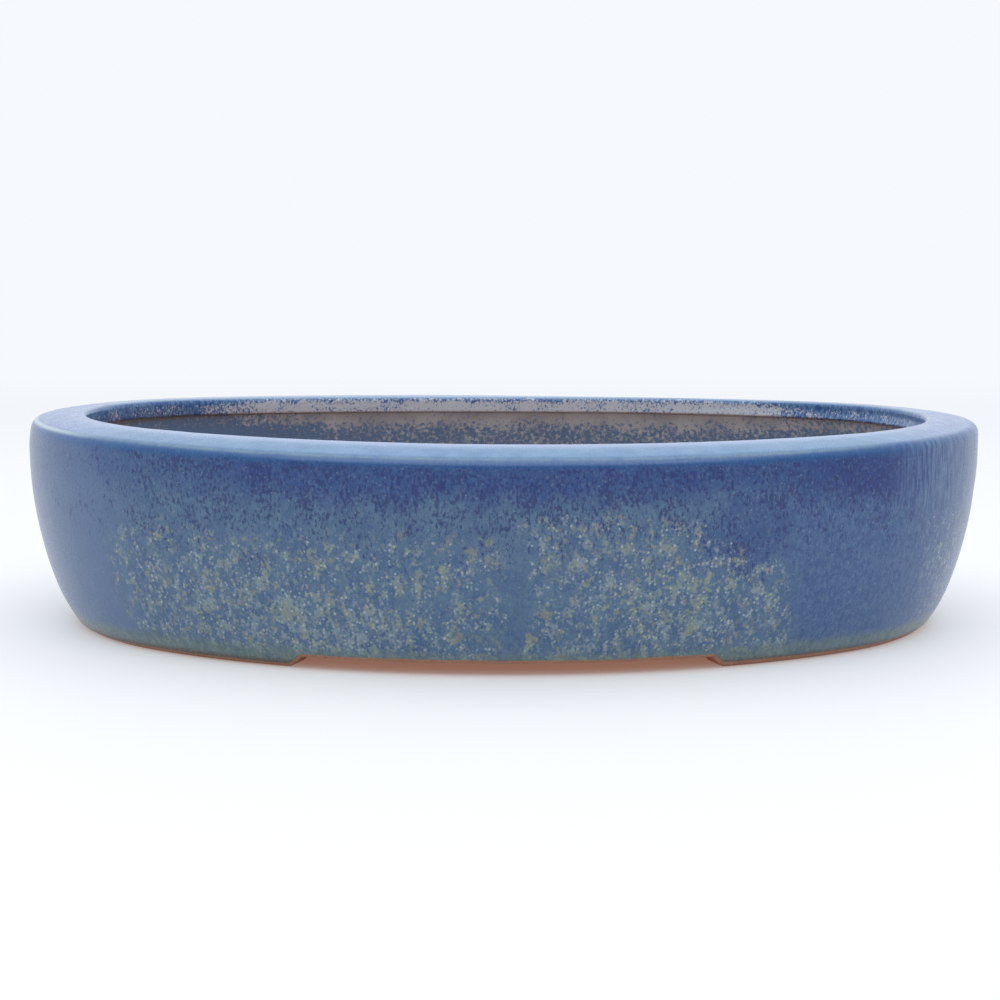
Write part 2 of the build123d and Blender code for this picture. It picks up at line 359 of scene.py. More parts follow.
# ---- Pieces ----
def build_glaze_coat():
    """The glaze outside: up the wall, over the rim and down to the lip's lower edge."""
    edge = glaze_line(np.arange(COLUMNS) / COLUMNS)
    section = []
    for t in np.linspace(-1, 0.9, EDGE_ROWS):  # the rounded lower edge
        depth = GLAZE / 2 * (1 - math.sqrt(1 - min(0, t) ** 2))
        height = edge + (t + 1) * EDGE_TALL / 2
        section.append((wall_inset(height, depth), height))
    for t in np.linspace(0, 1, WALL_ROWS + 1)[1:]:
        height = edge + EDGE_TALL + t * (BELLY_HEIGHT - edge - EDGE_TALL)
        section.append((wall_inset(height), height))
    section += list(rim_section(0))
    section += list(rim_section(GLAZE)[::-3])  # its back, against the clay
    for t in np.linspace(1, 0, BACK_ROWS):
        height = edge + BACK_START + t * (BELLY_HEIGHT - edge - BACK_START)
        section.append((wall_inset(height, GLAZE), height))
    crease_row = EDGE_ROWS + WALL_ROWS + STRAIGHT_ROWS + SHOULDER_ROWS - 1
    return ring_piece("glaze_coat", section, COLUMNS, GLAZE_RELIEF, crease_row)


def build_inner_glaze():
    """Thin glaze over the coil under the rim."""
    top = np.array([RIM_WIDTH - UNDERCUT, LIP_BOTTOM])
    foot = np.array([wall_inset(RIM_COIL_BOTTOM, WALL_THICKNESS), RIM_COIL_BOTTOM])
    rows = np.linspace(0, 1, INNER_ROWS)[:, None]
    clay_side = top + (foot - top) * rows
    face = clay_side + np.array([INNER_GLAZE, 0])
    section = list(clay_side[::-1]) + list(face)
    return ring_piece("inner_glaze_coat", section, INNER_COLUMNS, INNER_RELIEF, INNER_ROWS)


def wall_points(low, high, depth, count):
    """Points up the wall's curve, or up a surface that lies depth behind it."""
    return [(wall_inset(h, depth), h) for h in np.linspace(low, high, count)]


def build_wall():
    section = wall_points(FLOOR_TOP, BELLY_HEIGHT, GLAZE, CLAY_ROWS)
    section += [(GLAZE, LIP_BOTTOM), (WALL_THICKNESS, LIP_BOTTOM)]
    section += wall_points(BELLY_HEIGHT, FLOOR_TOP, WALL_THICKNESS, CLAY_ROWS)
    return ring_piece("wall_clay", section)


def build_rim():
    section = [p for p in rim_section(GLAZE) if p[1] > LIP_BOTTOM]
    section = [(GLAZE, LIP_BOTTOM)] + section[1:] + [(RIM_WIDTH - GLAZE, LIP_BOTTOM)]
    return ring_piece("rim_clay", section)


def build_rim_coil():
    section = wall_points(RIM_COIL_BOTTOM, LIP_BOTTOM, WALL_THICKNESS, 8)
    section += [(RIM_WIDTH - UNDERCUT, LIP_BOTTOM)]
    return ring_piece("rim_coil_clay", section)


def build_corner_coil():
    """The coil in the corner between wall and floor, smoothed to a hollow curve."""
    section = wall_points(FLOOR_TOP, FLOOR_TOP + COIL_SIZE, WALL_THICKNESS, 5)
    top = np.array(section[-1])
    toe = np.array([section[0][0] + COIL_SIZE, FLOOR_TOP])
    half = np.linalg.norm(toe - top) / 2
    along = (toe - top) / (2 * half)
    toward_corner = np.array([along[1], -along[0]])
    radius = 2 * COIL_SIZE
    for t in np.linspace(-1, 1, 11)[1:]:
        hollow = math.sqrt(radius**2 - (t * half) ** 2) - math.sqrt(radius**2 - half**2)
        section.append((top + toe) / 2 + along * t * half + toward_corner * hollow)
    return ring_piece("corner_coil_clay", section)


def build_foot(name, side):
    """One foot: a curved bar under the wall, whose toes slope up to the floor."""
    start, end = (0.15, 0.85) if side < 0 else (-0.35, 0.35)
    share = np.linspace(start, end, FOOT_COLUMNS)
    base, inward = oval.at(share)
    x = base[:, 0] + inward[:, 0] * wall_inset(0)
    keep = (notch_rise(x) < TOE_END) & (np.sign(x) == side)
    share = share[keep]
    sole = FOOT_HEIGHT * smooth(0, 1, notch_rise(x[keep]))
    outer = wall_inset(sole, GLAZE)
    inner = wall_inset(FOOT_HEIGHT, GLAZE) + FOOT_WIDTH
    bevel = np.minimum(FOOT_EDGE, (FOOT_HEIGHT - sole) / 2)
    rows = [(outer + bevel, sole), (outer + 0.25 * bevel, sole + 0.35 * bevel)]
    for t in np.linspace(0, 1, 5):
        height = sole + bevel + t * (FOOT_HEIGHT - sole - bevel)
        rows.append((wall_inset(height, GLAZE), height))
    rows += [(inner, FOOT_HEIGHT), (inner, sole + bevel)]
    rows += [(inner - 0.25 * bevel, sole + 0.35 * bevel), (inner - bevel, sole)]
    count, columns = len(rows), len(share)
    inset = np.stack([np.broadcast_to(r[0], columns) for r in rows])
    height = np.stack([np.broadcast_to(r[1], columns) for r in rows])
    verts = handmade(inset, height, np.broadcast_to(share, inset.shape))
    faces = [f for f in ring_faces(count, columns) if f[1] == f[0] + 1]  # open at both toes,
    faces.append([r * columns for r in range(count)])  # which are closed here
    faces.append([r * columns + columns - 1 for r in range(count)])
    piece = new_piece(name, verts, faces)
    outward(piece)
    return piece


def hole_rings(x, y, radius):
    """Circles up through a hole in the floor, wider at both of its rounded edges."""
    turn = np.linspace(0, math.tau, HOLE_COLUMNS, endpoint=False)
    rings = []
    for widen, height in (
        (1.0, FOOT_HEIGHT),
        (0.3, FOOT_HEIGHT + 0.3 * HOLE_EDGE),
        (0.0, FOOT_HEIGHT + HOLE_EDGE),
        (0.0, FLOOR_TOP - HOLE_EDGE),
        (0.3, FLOOR_TOP - 0.3 * HOLE_EDGE),
        (1.0, FLOOR_TOP),
    ):
        reach = radius + widen * HOLE_EDGE
        rings.append([(x + reach * math.cos(t), y + reach * math.sin(t), height) for t in turn])
    return rings


def add_side(mesh, rings):
    """Join rings into one side of a slab; returns the edges of its first and last ring."""
    loops = [[mesh.verts.new(point) for point in ring] for ring in rings]
    edges = [[mesh.edges.new(pair) for pair in zip(loop, loop[1:] + loop[:1])] for loop in loops]
    for lower, upper in zip(loops, loops[1:]):
        for i, vert in enumerate(lower):
            after = (i + 1) % len(lower)
            mesh.faces.new((vert, lower[after], upper[after], upper[i]))
    return edges[0], edges[-1]


def build_floor_slab():
    """The floor under the soil, with its drain and wire holes, their edges rounded."""
    share = np.arange(FLOOR_COLUMNS) / FLOOR_COLUMNS
    outline = []
    for height in np.linspace(FOOT_HEIGHT, FLOOR_TOP, 5):
        inset = np.full(FLOOR_COLUMNS, wall_inset(height, GLAZE))
        outline.append(handmade(inset, np.full(FLOOR_COLUMNS, height), share))
    mesh = bmesh.new()
    bottom, top = [], []
    for rings in [outline] + [hole_rings(*hole) for hole in DRAIN_HOLES + WIRE_HOLES]:
        first, last = add_side(mesh, rings)
        bottom += first
        top += last
    for edges in (bottom, top):
        bmesh.ops.triangle_fill(mesh, use_beauty=True, edges=edges)
    bmesh.ops.recalc_face_normals(mesh, faces=mesh.faces)
    for face in mesh.faces:
        face.smooth = abs(face.normal.z) < 0.99
    data = bpy.data.meshes.new("floor_clay")
    mesh.to_mesh(data)
    mesh.free()
    piece = new_object("floor_clay", data)
    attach(piece, "root")
    return piece


# ---- Materials ----
GLOSS_SHARE = 0.026  # what a glossy surface adds under the pale studio light
LIGHT_SHARE = 0.90  # and how much of its base colour comes back


def linear(red, green, blue):
    """An sRGB colour, 0 to 255, as the linear colour that a shader takes."""
    c = np.array([red, green, blue]) / 255
    c = np.where(c <= 0.04045, c / 12.92, ((c + 0.055) / 1.055) ** 2.4)
    return (*c.tolist(), 1.0)


def fired(red, green, blue):
    """The base colour of a glaze that looks like this sRGB colour once its gloss is added."""
    seen = np.array(linear(red, green, blue)[:3])
    base = np.clip((seen - GLOSS_SHARE) / LIGHT_SHARE, 0.002, 0.95)
    return (*base.tolist(), 1.0)


class Shader:
    """A material's node tree, with the few node kinds that these materials use."""

    def __init__(self, name, on_profile=False):
        self.material = bpy.data.materials.new(name)
        self.material.use_nodes = True
        self.tree = self.material.node_tree
        self.tree.nodes.clear()
        self.out = self.tree.nodes.new("ShaderNodeOutputMaterial")
        self.bsdf = self.tree.nodes.new("ShaderNodeBsdfPrincipled")
        self.tree.links.new(self.bsdf.outputs[0], self.out.inputs[0])
        self.place = self.tree.nodes.new("ShaderNodeTexCoord").outputs["Object"]
        tube = self.tree.nodes.new("ShaderNodeAttribute")
        tube.attribute_name = "profile"
        self.profile = tube.outputs["Vector"]
        self.lie = self.profile if on_profile else self.place  # what the patterns lie on
        self.x, self.y, self.z = self.node("ShaderNodeSeparateXYZ", Vector=self.place).outputs
        self.out_along = self.math("ABSOLUTE", self.x)  # distance from the pot's middle, along it
        self.colour = None

    def node(self, kind, **inputs):
        made = self.tree.nodes.new(kind)
        for key, value in inputs.items():
            self.feed(made.inputs[key], value)
        return made

    def feed(self, socket, value):
        if isinstance(value, bpy.types.NodeSocket):
            self.tree.links.new(value, socket)
        else:
            socket.default_value = value

    def set(self, **inputs):
        """Feed the surface shader, whose input names are given with _ for each space."""
        for key, value in inputs.items():
            self.feed(self.bsdf.inputs[key.replace("_", " ")], value)

    def math(self, operation, first, *others):
        made = self.tree.nodes.new("ShaderNodeMath")
        made.operation = operation
        for socket, value in zip(made.inputs, (first, *others)):
            self.feed(socket, value)
        return made.outputs[0]

    def chain(self, operation, first, others):
        for other in others:
            first = self.math(operation, first, other)
        return first

    def add(self, first, *others):
        return self.chain("ADD", first, others)

    def times(self, first, *others):
        return self.chain("MULTIPLY", first, others)

    def most(self, first, *others):
        return self.chain("MAXIMUM", first, others)

    def opposite(self, share):
        return self.math("SUBTRACT", 1.0, share)

    def step(self, value, low, high):
        """Smooth 0 to 1 as value runs from low to high, or 1 to 0 if high is the lower."""
        made = self.tree.nodes.new("ShaderNodeMapRange")
        made.interpolation_type = "SMOOTHSTEP"
        rising = high > low
        feeds = {"Value": value, "From Min": min(low, high), "From Max": max(low, high)}
        feeds |= {"To Min": 0.0 if rising else 1.0, "To Max": 1.0 if rising else 0.0}
        for key, number in feeds.items():
            self.feed(made.inputs[key], number)
        return made.outputs[0]

    def spread(self, size, stretch, shift):
        """Where a pattern is read: features size metres wide and stretch times as tall, shifted."""
        spot = self.node("ShaderNodeMapping", Vector=self.lie, Location=shift)
        spot.inputs["Scale"].default_value = (1 / size, 1 / size, 1 / (size * stretch))
        return spot.outputs[0]

    def noise(self, size, detail=2.0, rough=0.5, stretch=1.0, seed=0.0):
        spot = self.spread(size, stretch, (seed, seed * 1.7, seed * 2.3))
        made = self.node("ShaderNodeTexNoise", Vector=spot, Scale=1.0, Detail=detail, Roughness=rough)
        return made.outputs["Fac"]

    def cells(self, size, stretch=1.0, seed=0.0):
        """Distance from the nearest of scattered points, in units of size, and a chance 0 to 1."""
        spot = self.spread(size, stretch, (seed, seed * 1.3, seed * 2.1))
        made = self.node("ShaderNodeTexVoronoi", Vector=spot, Scale=1.0)
        chance = self.node("ShaderNodeSeparateColor", Color=made.outputs["Color"])
        return made.outputs["Distance"], chance.outputs[0]

    def dots(self, size, edge, chosen, seed):
        """Scattered dots: edge says where each fades out, and chosen which of the cells have one."""
        away, chance = self.cells(size, seed=seed)
        return self.times(self.step(away, *edge), self.step(chance, *chosen))

    def mix(self, share, under, over):
        made = self.tree.nodes.new("ShaderNodeMix")
        made.data_type = "RGBA"
        self.feed(made.inputs[0], share)
        self.feed(made.inputs[6], under)
        self.feed(made.inputs[7], over)
        return made.outputs[2]

    def lay(self, share, colour):
        """Cover a share of the colour so far with another."""
        self.colour = self.mix(share, self.colour, colour)

    def bump(self, height, distance, strength, under=None):
        made = self.node("ShaderNodeBump", Height=height, Distance=distance, Strength=strength)
        if under is not None:
            self.feed(made.inputs["Normal"], under)
        return made.outputs[0]


def clay_material():
    s = Shader("red_clay")
    broad = s.noise(14 * MM, 3, 0.6, seed=2)
    grain = s.noise(0.7 * MM, 3, 0.7, seed=5)
    s.colour = s.mix(broad, linear(146, 104, 84), linear(172, 128, 106))
    s.lay(s.times(s.step(grain, 0.45, 0.7), 0.5), linear(196, 156, 132))
    dark = s.dots(1.4 * MM, (0.22, 0.08), (0.5, 0.6), seed=4)
    s.lay(s.times(dark, 0.7), linear(88, 60, 48))
    roughness = s.add(s.times(grain, 0.2), 0.68)
    s.set(Base_Color=s.colour, Roughness=roughness, Normal=s.bump(grain, 0.12 * MM, 0.8))
    return s.material


class Glaze(Shader):
    """The blue glaze outside: one layer of colour over the other, from the body to the lip."""

    def __init__(self):
        super().__init__("blue_glaze", on_profile=True)
        # metres over the rim from its outer edge, negative down the wall
        self.past_crease = self.node("ShaderNodeSeparateXYZ", Vector=self.profile).outputs[2]
        # the back of the pot has its own pattern: the front's, turned round
        behind = self.step(self.y, -0.02, 0.02)
        turned = self.add(self.times(self.x, -0.8), 25 * MM)
        own = self.add(self.times(self.x, self.opposite(behind)), self.times(turned, behind))
        drift = self.times(self.add(self.noise(24 * MM, 2, 0.5, seed=11), -0.5), 18 * MM)
        self.across = self.add(own, drift)
        self.ragged = self.add(self.noise(8 * MM, 4, 0.65, 1.5, seed=13), -0.5)
        self.height = self.add(self.z, self.times(self.ragged, 15 * MM))
        self.left = self.step(self.across, -98 * MM, -118 * MM)
        self.fine = self.noise(1.5 * MM, 3, 0.6, 1.5, seed=2)
        self.middle = self.noise(5 * MM, 3, 0.55, 1.3, seed=3)
        self.streak = self.noise(0.7 * MM, 3, 0.6, 12.0, seed=6)

    def soft_spot(self, height, centre, size):
        """1 at a centre on the wall, falling to 0 at an ellipse of the given half sizes, in mm."""
        dx = self.times(self.add(self.across, -centre[0] * MM), 1 / (size[0] * MM))
        dz = self.times(self.add(height, -centre[1] * MM), 1 / (size[1] * MM))
        return self.step(self.add(self.times(dx, dx), self.times(dz, dz)), 1.0, 0.0)

    def lay_body(self):
        """Slate blue, purer at the right end and smooth at the left."""
        self.colour = self.mix(self.step(self.middle, 0.3, 0.7), fired(76, 101, 134), fired(90, 115, 140))
        self.lay(self.times(self.step(self.fine, 0.5, 0.75), 0.4), fired(106, 128, 146))
        self.lay(self.times(self.step(self.fine, 0.5, 0.25), 0.5), fired(62, 86, 126))
        pure = self.mix(self.step(self.fine, 0.3, 0.7), fired(62, 86, 134), fired(82, 108, 146))
        self.lay(self.times(self.step(self.across, 70 * MM, 88 * MM), 0.85), pure)
        self.lay(self.times(self.left, 0.8), fired(92, 114, 150))

    def lay_cobalt(self):
        """Dark blue under the rim, ragged at its lower edge, with darker flecks."""
        corner = self.times(self.soft_spot(self.height, (66, 40), (20, 17)), 0.8)
        band = self.most(self.step(self.height, 45 * MM, 55 * MM), self.times(corner, 0.9))
        weaker = self.times(self.step(self.across, -66 * MM, -96 * MM), 0.55)
        weaker = self.most(weaker, self.times(self.left, 0.8))
        self.lay(self.times(band, self.opposite(weaker), 0.82), fired(54, 78, 130))
        deep = self.times(self.step(self.across, 76 * MM, 96 * MM), self.step(self.z, 42 * MM, 52 * MM))
        self.lay(self.times(deep, 0.6), fired(40, 62, 118))

        rising = self.step(self.z, 26 * MM, 51 * MM)
        below_crease = self.step(self.past_crease, -2.4 * MM, -4.6 * MM)
        reach = self.most(self.times(rising, below_crease), corner)
        reach = self.times(reach, self.opposite(self.times(self.left, 0.7)))
        speckle = self.noise(0.75 * MM, 2, 0.55, 1.9, seed=21)
        gather = self.times(self.add(self.noise(6 * MM, 3, 0.6, 1.2, seed=22), -0.5), 0.5)
        level = self.add(speckle, gather, self.times(reach, 0.17))
        flecks = self.times(self.step(level, 0.64, 0.76), self.step(reach, 0.0, 0.15))
        self.lay(self.times(flecks, 0.72), fired(34, 54, 104))

    def crystal_patches(self):
        """How thick the crystals lie.

        At the left is a broad thin patch with a dense spot low down, at the right one cut off by a
        slanting edge with its own dense spot, and round the right end a faint one.
        """
        x, z = self.across, self.height
        broad = self.times(self.step(x, -118 * MM, -98 * MM), self.step(x, 4 * MM, -8 * MM))
        broad = self.times(broad, self.step(z, 46 * MM, 30 * MM))
        slant = self.add(z, self.times(self.most(self.add(x, -45 * MM), 0.0), 0.5))
        cut = self.times(self.step(x, 2 * MM, 10 * MM), self.step(x, 84 * MM, 74 * MM))
        cut = self.times(cut, self.step(slant, 48 * MM, 40 * MM))
        end = self.times(self.step(self.x, 112 * MM, 135 * MM), self.step(self.z, 46 * MM, 36 * MM))
        return self.most(
            self.times(broad, 0.5),
            self.soft_spot(self.z, (-54, 14), (50, 15)),
            self.times(cut, 0.6),
            self.times(self.soft_spot(self.z, (46, 20), (30, 24)), 0.85),
            self.times(end, 0.42),
        )

    def lay_crystals(self):
        """Pale blooms and bright specks gathered in patches, with olive, amber and rust among them."""
        patches = self.crystal_patches()
        there = self.step(patches, 0.05, 0.3)
        gather = self.noise(2.7 * MM, 3, 0.6, 1.3, seed=31)
        crumb = self.times(self.add(self.noise(1.0 * MM, 2, 0.6, 1.1, seed=32), -0.5), 0.75)
        bloom = self.add(gather, crumb, self.times(patches, 0.16))
        self.blooms = self.times(self.step(bloom, 0.57, 0.78), there)
        inland = self.step(self.across, 100 * MM, 88 * MM)  # past it, at the right end, all are white
        olive = self.add(self.noise(6 * MM, 2, 0.5, seed=35), self.times(self.z, 4.0))
        olive = self.times(self.step(olive, 0.50, 0.68), inland)
        pale = self.mix(olive, fired(146, 160, 160), fired(146, 154, 130))
        self.lay(self.times(self.blooms, 0.62), pale)

        spot, chance = self.cells(1.15 * MM, 1.05, seed=33)
        chosen = self.step(self.add(gather, self.times(patches, 0.2)), 0.45, 0.72)
        shown = self.step(self.add(chance, self.times(chosen, 0.65)), 0.72, 1.3)
        bright = self.times(self.step(spot, 0.46, 0.08), shown, there)
        self.lay(self.times(bright, 0.8), fired(178, 190, 184))

        warm = self.times(there, inland)
        amber = self.step(self.noise(2.4 * MM, 2, 0.55, 1.5, seed=37), 0.58, 0.70)
        self.lay(self.times(amber, warm, 0.44), fired(156, 154, 112))
        rust = self.step(self.noise(2.0 * MM, 1, 0.5, 1.1, seed=39), 0.71, 0.78)
        self.lay(self.times(rust, warm, 0.45), fired(158, 134, 104))

    def lay_grain(self):
        """Fine grain all over, with a few small pits and pale specks."""
        mottle = self.noise(0.9 * MM, 3, 0.65, 1.2, seed=49)
        rougher = self.opposite(self.times(self.left, 0.7))
        self.lay(self.times(self.step(mottle, 0.52, 0.72), rougher, 0.28), fired(128, 150, 170))
        self.lay(self.times(self.step(mottle, 0.48, 0.28), rougher, 0.32), fired(44, 66, 114))
        pits = self.dots(2.2 * MM, (0.15, 0.07), (0.72, 0.8), seed=43)
        self.lay(self.times(pits, 0.6), fired(34, 46, 86))
        specks = self.dots(1.6 * MM, (0.2, 0.08), (0.6, 0.75), seed=45)
        self.lay(self.times(specks, 0.4), fired(150, 166, 172))

    def lay_foot(self):
        """Grey-green in a band just above the foot, brown right at its edge."""
        band = self.step(self.add(self.z, self.times(self.ragged, 3 * MM)), 8.0 * MM, 4.2 * MM)
        green = self.mix(self.step(self.fine, 0.35, 0.65), fired(98, 118, 116), fired(120, 136, 128))
        self.lay(self.times(band, 0.7), green)
        self.lay(self.times(self.step(self.z, 3.2 * MM, 1.5 * MM), 0.75), fired(96, 80, 70))

    def lay_runs(self):
        """Smooth blue just under the rim, and runs down from it at the right end, their pale stripes
        partly painted sheen.
        """
        place = self.add(self.past_crease, self.times(self.ragged, 2 * MM))
        under = self.step(place, -5.6 * MM, -2.6 * MM)
        plain = self.mix(self.step(self.streak, 0.2, 0.8), fired(60, 92, 142), fired(72, 106, 152))
        self.lay(self.times(under, 0.85), plain)
        # glaze runs at the right end, their pale stripes partly a painted streaky sheen
        runs = self.times(self.step(self.x, 104 * MM, 126 * MM), self.step(self.height, 34 * MM, 48 * MM))
        broad = self.noise(1.6 * MM, 3, 0.65, 4.0, seed=7)
        level = self.add(self.times(self.streak, 0.6), self.times(broad, 0.4))
        stripes_and_sheen = self.mix(self.step(level, 0.40, 0.60), fired(50, 76, 128), fired(104, 132, 164))
        self.lay(self.times(runs, 0.7), stripes_and_sheen)

    def lay_top(self):
        """Clear blue on top of the rim, with a painted lavender reflection towards its inner edge and a
        painted pale sheen at the ends, which are also dappled.
        """
        top = self.mix(self.step(self.middle, 0.3, 0.7), fired(88, 127, 166), fired(104, 141, 176))
        # painted reflection: lavender towards the inner edge of the rim's top
        inner_edge_reflection = self.step(self.past_crease, 6 * MM, 12.5 * MM)
        top = self.mix(self.times(inner_edge_reflection, 0.8), top, fired(148, 164, 200))
        ends = self.step(self.out_along, 96 * MM, 132 * MM)
        dapple = self.add(self.noise(3.2 * MM, 4, 0.65, seed=47), self.times(ends, 0.06))
        dapple = self.step(dapple, 0.46, 0.66)
        # painted reflection: a pale sheen over the ends of the rim
        top = self.mix(self.times(ends, 0.6), top, fired(140, 158, 190))
        top = self.mix(self.times(dapple, ends, 0.55), top, fired(92, 108, 162))
        self.on_top = self.step(self.past_crease, -2.1 * MM, 1.2 * MM)
        self.lay(self.on_top, top)

    def lay_crease(self):
        """A pale break along the rim's outer edge, with a painted highlight over it at the left end."""
        crease = self.step(self.past_crease, -2.5 * MM, -1.1 * MM)
        crease = self.times(crease, self.step(self.past_crease, 0.3 * MM, -1.1 * MM))
        worn = self.step(self.noise(4 * MM, 3, 0.6, seed=41), 0.2, 0.6)
        worn = self.times(worn, self.step(self.x, 118 * MM, 90 * MM))
        self.lay(self.times(crease, worn, 0.36), fired(136, 160, 162))
        # painted highlight: a bright line along the crease at the left end
        painted_glint = self.step(self.x, -112 * MM, -134 * MM)
        self.lay(self.times(crease, painted_glint, 0.6), fired(196, 216, 218))

    def lay_lip(self):
        """Inside the lip the glaze is thin and the clay shows through, least at the ends."""
        thin = self.step(self.out_along, 114 * MM, 78 * MM)
        low_down = self.step(self.past_crease, 14.2 * MM, 17 * MM)
        level = self.noise(0.9 * MM, 3, 0.7, 1.0, seed=51)
        level = self.add(level, self.times(self.noise(9 * MM, 2, 0.5, seed=52), 0.4))
        level = self.add(level, self.times(thin, 0.22), self.times(low_down, 0.20))
        blue = self.mix(self.step(self.fine, 0.35, 0.65), fired(58, 90, 150), fired(96, 132, 172))
        inner = self.mix(self.step(level, 0.91, 1.11), blue, fired(192, 202, 214))
        iron = self.dots(5 * MM, (0.14, 0.06), (0.82, 0.86), seed=53)
        inner = self.mix(self.times(iron, 0.7), inner, fired(104, 88, 78))
        self.lay(self.step(self.past_crease, 13.6 * MM, 14.8 * MM), inner)
        # a pale line round the lip's inner edge: partly the glaze breaking thin there, partly a painted
        # highlight
        edge = self.step(self.past_crease, 12.4 * MM, 13.6 * MM)
        edge = self.times(edge, self.step(self.past_crease, 14.8 * MM, 13.8 * MM))
        self.lay(self.times(edge, 0.5), fired(140, 166, 176))

    def finish(self):
        """Gloss, duller on the blooms, over a fine orange peel and a finer grain that the rim's top
        lacks.
        """
        grain = self.noise(0.55 * MM, 2, 0.6, 1.3, seed=1)
        roughness = self.add(self.times(grain, 0.14), self.times(self.blooms, 0.1), 0.19)
        peel = self.bump(self.noise(1.4 * MM, 2, 0.5, 1.6, seed=61), 0.10 * MM, 0.6)
        normal = self.bump(self.times(grain, self.opposite(self.on_top)), 0.03 * MM, 0.6, under=peel)
        self.set(Base_Color=self.colour, Roughness=roughness, Normal=normal)


def glaze_material():
    glaze = Glaze()
    glaze.lay_body()
    glaze.lay_cobalt()
    glaze.lay_crystals()
    glaze.lay_grain()
    glaze.lay_foot()
    glaze.lay_runs()
    glaze.lay_top()
    glaze.lay_crease()
    glaze.lay_lip()
    glaze.finish()
    return glaze.material


def inner_glaze_material():
    """Thin glaze under the rim: bare clay colours at the top, mottled with blue lower down."""
    s = Shader("inner_glaze", on_profile=True)
    blotch = s.noise(1.5 * MM, 4, 0.7, seed=71)
    broad = s.noise(12 * MM, 3, 0.6, seed=72)
    s.colour = s.mix(s.step(broad, 0.35, 0.65), linear(180, 204, 222), linear(202, 226, 242))
    depth = s.step(s.add(s.z, s.times(s.add(broad, -0.5), 8 * MM)), 56 * MM, 49 * MM)
    ends = s.times(s.step(s.out_along, 60 * MM, 125 * MM), 0.12)
    left = s.times(s.step(s.x, -40 * MM, -110 * MM), 0.15)
    blue = s.step(s.add(blotch, s.times(depth, 0.2), ends, left), 0.56, 0.74)
    s.lay(blue, linear(104, 152, 206))
    olive = s.step(s.noise(1.6 * MM, 3, 0.7, seed=74), 0.58, 0.72)
    s.lay(s.times(olive, 0.5), linear(182, 186, 160))
    rust = s.dots(6 * MM, (0.14, 0.06), (0.8, 0.85), seed=75)
    s.lay(s.times(rust, 0.7), linear(120, 92, 76))
    frost = s.step(s.noise(0.8 * MM, 3, 0.7, seed=76), 0.56, 0.68)
    s.lay(s.times(frost, s.step(s.z, 51 * MM, 55.5 * MM), 0.5), linear(206, 226, 240))
    # painted shade: an olive-grey darkening just under the lip's overhang
    groove_shade = s.step(s.z, 56.6 * MM, 58.2 * MM)
    s.lay(s.times(groove_shade, 0.6), linear(130, 130, 120))
    roughness = s.add(s.times(blotch, 0.2), 0.3)
    s.set(Base_Color=s.colour, Roughness=roughness, Normal=s.bump(blotch, 0.08 * MM, 0.7))
    return s.material


# ---- Stage ----
BACKDROP = (246, 249, 253)
VIEWER_SIDE = 0.40  # brightness of the room round the pot
FAR_SIDE = 1.05
GLOW = 0.42  # share of the table's brightness that it gives off itself, painted light that lifts the shadows on it,
POT_SHADE_GLOW = 0.28  # less where the pot stands, as painted shade, and warm there with painted light bounced from the clay
# the colour of the painted warm bounce light under the pot
CLAY_BOUNCE_GLOW = (222, 168, 146)
TABLE_RADIUS = 4
FADE_START = 0.35  # where the table starts to turn into the backdrop
FADE_END = 1.3


def build_table():
    """A round white table that fades into the backdrop far from the pot."""
    mesh = bpy.data.meshes.new("table_top")
    turn = np.linspace(0, math.tau, 96, endpoint=False)
    ring = [(TABLE_RADIUS * math.cos(t), TABLE_RADIUS * math.sin(t), 0) for t in turn]
    mesh.from_pydata(ring, [], [list(range(len(ring)))])
    s = Shader("white_table")
    s.set(Base_Color=linear(240, 242, 244), Roughness=0.6, Specular_IOR_Level=0.2)
    away = s.node("ShaderNodeVectorMath", Vector=s.place)
    away.operation = "LENGTH"
    fade = s.step(away.outputs["Value"], FADE_START, FADE_END)
    across, deep = s.times(s.x, 1 / HALF_LENGTH), s.times(s.y, 1 / HALF_DEPTH)
    beyond = s.step(s.add(s.times(across, across), s.times(deep, deep)), 0.6, 1.15)  # the pot
    # painted light: the table glows, less and warmer under the pot as painted shade and bounce
    glow = s.math("MULTIPLY_ADD", beyond, GLOW - POT_SHADE_GLOW, POT_SHADE_GLOW)
    glow_and_bounce_colour = s.mix(s.step(beyond, 0.0, 0.5), linear(*CLAY_BOUNCE_GLOW), linear(*BACKDROP))
    far = s.node("ShaderNodeEmission", Color=glow_and_bounce_colour, Strength=1.0)
    blend = s.tree.nodes.new("ShaderNodeMixShader")
    s.feed(blend.inputs[0], s.most(fade, glow))
    s.feed(blend.inputs[1], s.bsdf.outputs[0])
    s.feed(blend.inputs[2], far.outputs[0])
    s.tree.links.new(blend.outputs[0], s.out.inputs[0])
    mesh.materials.append(s.material)
    new_object("table_top", mesh)


def area_light(name, place, target, size, power):
    light = bpy.data.lights.new(name, "AREA")
    light.shape = "RECTANGLE"
    light.size, light.size_y = size
    light.energy = power
    lamp = new_object(name, light)
    lamp.location = place
    lamp.rotation_euler = (Vector(target) - Vector(place)).to_track_quat("-Z", "Y").to_euler()


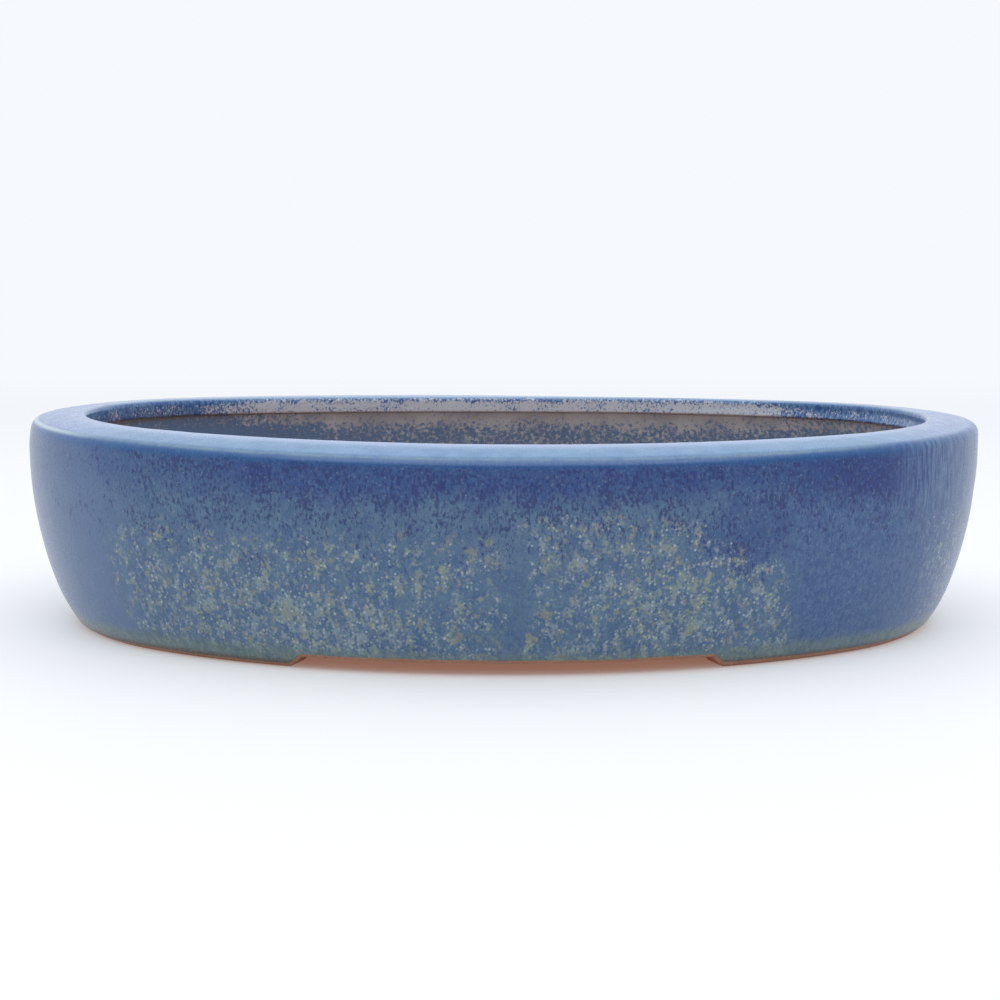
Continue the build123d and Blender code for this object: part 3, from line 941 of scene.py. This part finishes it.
def build_room():
    """A pale room, darker on the viewer's side, that the camera sees as a plain backdrop."""
    world = bpy.data.worlds.new("studio")
    bpy.context.scene.world = world
    world.use_nodes = True
    tree = world.node_tree
    tree.nodes.clear()
    out = tree.nodes.new("ShaderNodeOutputWorld")
    room = tree.nodes.new("ShaderNodeBackground")
    room.inputs[0].default_value = linear(246, 249, 254)
    seen = tree.nodes.new("ShaderNodeBackground")
    seen.inputs[0].default_value = linear(*BACKDROP)
    place = tree.nodes.new("ShaderNodeTexCoord")
    split = tree.nodes.new("ShaderNodeSeparateXYZ")
    side = tree.nodes.new("ShaderNodeMapRange")
    side.interpolation_type = "SMOOTHSTEP"
    limits = {"From Min": -0.5, "From Max": 0.3, "To Min": VIEWER_SIDE, "To Max": FAR_SIDE}
    for name, value in limits.items():
        side.inputs[name].default_value = value
    path = tree.nodes.new("ShaderNodeLightPath")
    pick = tree.nodes.new("ShaderNodeMixShader")
    for source, socket in (
        (place.outputs["Generated"], split.inputs[0]),
        (split.outputs[1], side.inputs["Value"]),
        (side.outputs[0], room.inputs[1]),
        (path.outputs["Is Camera Ray"], pick.inputs[0]),
        (room.outputs[0], pick.inputs[1]),
        (seen.outputs[0], pick.inputs[2]),
        (pick.outputs[0], out.inputs[0]),
    ):
        tree.links.new(source, socket)


def build_light():
    """The room, and soft white lamps above the pot and in front of it."""
    build_room()
    area_light("overhead", (0, -0.1, 1.3), (0, 0, 0), (1.8, 1.4), 8)
    area_light("front", (0, -0.8, 1.25), (0, 0, 0.03), (2.2, 0.8), 7)


CAMERA_DISTANCE = 582 * MM
CAMERA_HEIGHT = 112 * MM
CAMERA_PITCH = 0.130
CAMERA_TURN = 0.0013
CAMERA_ROLL = 0.0018
LENS = 65.2


def build_camera():
    data = bpy.data.cameras.new("camera")
    data.lens, data.sensor_width = LENS, 36
    camera = new_object("camera", data)
    turn = Matrix.Rotation(CAMERA_TURN, 4, "Z")
    tip = Matrix.Rotation(math.pi / 2 - CAMERA_PITCH, 4, "X")
    roll = Matrix.Rotation(CAMERA_ROLL, 4, "Z")
    camera.matrix_world = Matrix.Translation((0, -CAMERA_DISTANCE, CAMERA_HEIGHT)) @ turn @ tip @ roll
    bpy.context.scene.camera = camera


build_camera()
build_light()
build_table()

clay = clay_material()
glaze = glaze_material()
inner_glaze = inner_glaze_material()

made = {
    "glaze_outside": (build_glaze_coat(), glaze, "glaze"),
    "glaze_inside": (build_inner_glaze(), inner_glaze, "inner_glaze"),
    "wall": (build_wall(), clay, "clay"),
    "rim_band": (build_rim(), clay, "clay"),
    "rim_coil": (build_rim_coil(), clay, "clay"),
    "corner_coil": (build_corner_coil(), clay, "clay"),
    "floor_slab": (build_floor_slab(), clay, "clay"),
    "foot_left": (build_foot("foot_left_clay", -1), clay, "clay"),
    "foot_right": (build_foot("foot_right_clay", 1), clay, "clay"),
}
for node, (piece, material, slot) in made.items():
    piece.data.materials.append(material)
    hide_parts(node)

scene = bpy.context.scene
scene.view_settings.view_transform = "Standard"
